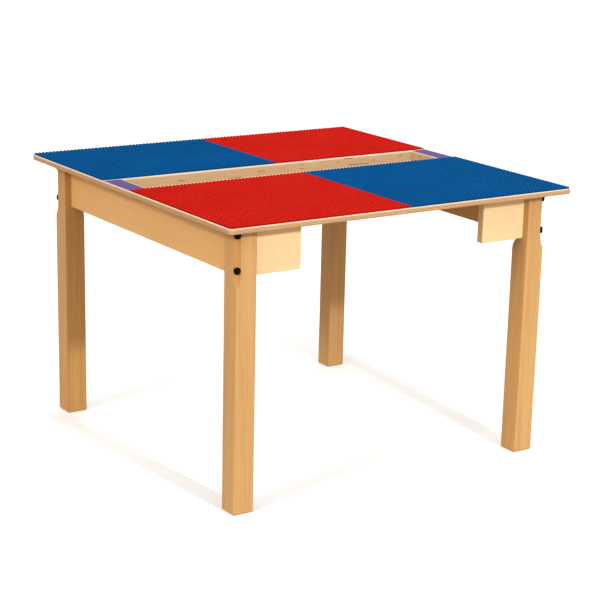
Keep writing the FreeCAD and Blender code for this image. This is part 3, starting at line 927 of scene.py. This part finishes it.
def sticker(name, side):
    """A thin film on the panel."""
    rings = [sticker_points(side, PANEL_TOP), sticker_points(side, PANEL_TOP + STICKER_THICK)]
    new_piece(name, mesh_from(name, *stack(rings, flat_joins=(0,))), "purple_film")


sticker("sticker_left", -1)
sticker("sticker_right", 1)


# CAD nodes that stay

# The first match with the start of a node's name gives its look
NODE_LOOKS = {
    "table_top": "birch_plywood",
    "trough": "birch_plywood",
    # The back left leg takes the darker copy of the leg timber, painted shade
    "leg_back_left": "painted_shade_leg_timber",
    "leg": "leg_timber",
    "side_apron": "apron_timber",
    "rail": "rail_timber",
}


def look_of(node):
    matches = [look for start, look in NODE_LOOKS.items() if node.startswith(start)]
    return matches[0] if matches else "inner_timber"


for node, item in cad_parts.items():
    if item.hide_render:
        continue
    item.data.materials.clear()
    item.data.materials.append(looks[look_of(node)])


# Stage

def stage_piece(name, mesh, material):
    """A piece of the studio, which throws no light on the table."""
    mesh.materials.append(material)
    piece = bpy.data.objects.new(name, mesh)
    put_in_scene(piece)
    piece.visible_diffuse = False
    return piece


def floor():
    material, tree, shader = start_material("floor", Roughness=0.9, Emission_Strength=0.14)
    mottle = pattern(tree, even(FLOOR_REPEATS))
    feed(tree, shader.inputs["Base Color"], ramp(tree, mottle, NOISE_SPAN, FLOOR_TONES))
    reach = FLOOR_REACH
    corners = [(-reach, -reach, 0), (reach, -reach, 0), (reach, reach, 0), (-reach, reach, 0)]
    stage_piece("floor", mesh_from("floor", corners, [(0, 1, 2, 3)], [False]), material)


def backdrop():
    """A pale wall around the floor, which neither lights nor shades the table."""
    material, tree, shader = start_material("backdrop", Roughness=1.0, Emission_Strength=1.0)
    mottle = pattern(tree, even(WALL_REPEATS))
    feed(tree, shader.inputs["Emission Color"], ramp(tree, mottle, NOISE_SPAN, WALL_TONES))
    points = ring_points(WALL_RADIUS, 0.0) + ring_points(WALL_RADIUS, WALL_HEIGHT)
    count = len(points) // 2
    steps = [(step, (step + 1) % count) for step in range(count)]
    faces = [(after, step, count + step, count + after) for step, after in steps]
    piece = stage_piece("backdrop", mesh_from("backdrop", points, faces, [True] * count), material)
    piece.visible_glossy = False
    piece.visible_shadow = False


def sun(name, towards, power, width, tint=WHITE, glossy=False):
    """A soft light from far away, as wide in the sky as its degrees say."""
    data = bpy.data.lights.new(name, "SUN")
    data.energy = power
    data.angle = math.radians(width)
    data.color = tint
    item = bpy.data.objects.new(name, data)
    item.visible_glossy = glossy
    item.location = towards
    item.rotation_mode = "QUATERNION"
    item.rotation_quaternion = (-Vector(towards)).to_track_quat("-Z", "Y")
    put_in_scene(item)


def lamp(name, place, power, radius):
    """A round soft box in front of the table, which gives no highlight."""
    data = bpy.data.lights.new(name, "POINT")
    data.energy = power
    data.shadow_soft_size = radius
    item = bpy.data.objects.new(name, data)
    item.visible_glossy = False
    item.location = place
    put_in_scene(item)


def sky():
    """A studio that is dim and warm below and bright overhead."""
    world = bpy.data.worlds.new("studio")
    world.use_nodes = True
    tree = world.node_tree
    tree.nodes.clear()
    direction = tree.nodes.new("ShaderNodeTexCoord").outputs["Generated"]
    height = add(tree, "ShaderNodeSeparateXYZ", {"Vector": direction}).outputs["Z"]
    tone = blend(tree, spread(tree, height, SKY_SPAN), SKY_LOW, SKY_HIGH)
    light = add(tree, "ShaderNodeBackground", {"Color": tone, "Strength": 1.0})
    add(tree, "ShaderNodeOutputWorld", {"Surface": light.outputs["Background"]})
    bpy.context.scene.world = world


def camera():
    azimuth = math.radians(CAMERA_AZIMUTH)
    elevation = math.radians(CAMERA_ELEVATION)
    roll = math.radians(CAMERA_ROLL)
    level = math.cos(elevation)
    back = Vector((math.sin(azimuth) * level, -math.cos(azimuth) * level, math.sin(elevation)))
    right = Vector((0, 0, 1)).cross(back).normalized()
    up = back.cross(right)
    tilted_right = right * math.cos(roll) + up * math.sin(roll)
    tilted_up = up * math.cos(roll) - right * math.sin(roll)
    data = bpy.data.cameras.new("camera")
    data.sensor_width = SENSOR
    data.lens = SENSOR * FOCAL_PIXELS / PICTURE_PIXELS
    data.shift_x, data.shift_y = SHIFT_SHARES
    item = bpy.data.objects.new("camera", data)
    turn = Matrix((tilted_right, tilted_up, back)).transposed().to_4x4()
    item.matrix_world = Matrix.Translation(CAMERA_PLACE) @ turn
    put_in_scene(item)
    bpy.context.scene.camera = item


floor()
backdrop()
sky()
lamp("key", place=(0.0, -4.5, 2.36), power=470.0, radius=0.15)
sun("front", towards=(-0.1, -1.0, 0.2), power=0.85, width=40.0)
sun("side", towards=(-1.0, -0.25, 0.6), power=1.1, width=10.0, tint=WARM, glossy=True)
sun("left", towards=(-1.0, -0.4, 0.15), power=0.85, width=50.0, tint=WARM)
sun("back", towards=(0.6, 1.0, 0.5), power=1.2, width=60.0)
camera()
bpy.context.scene.view_settings.view_transform = "Standard"
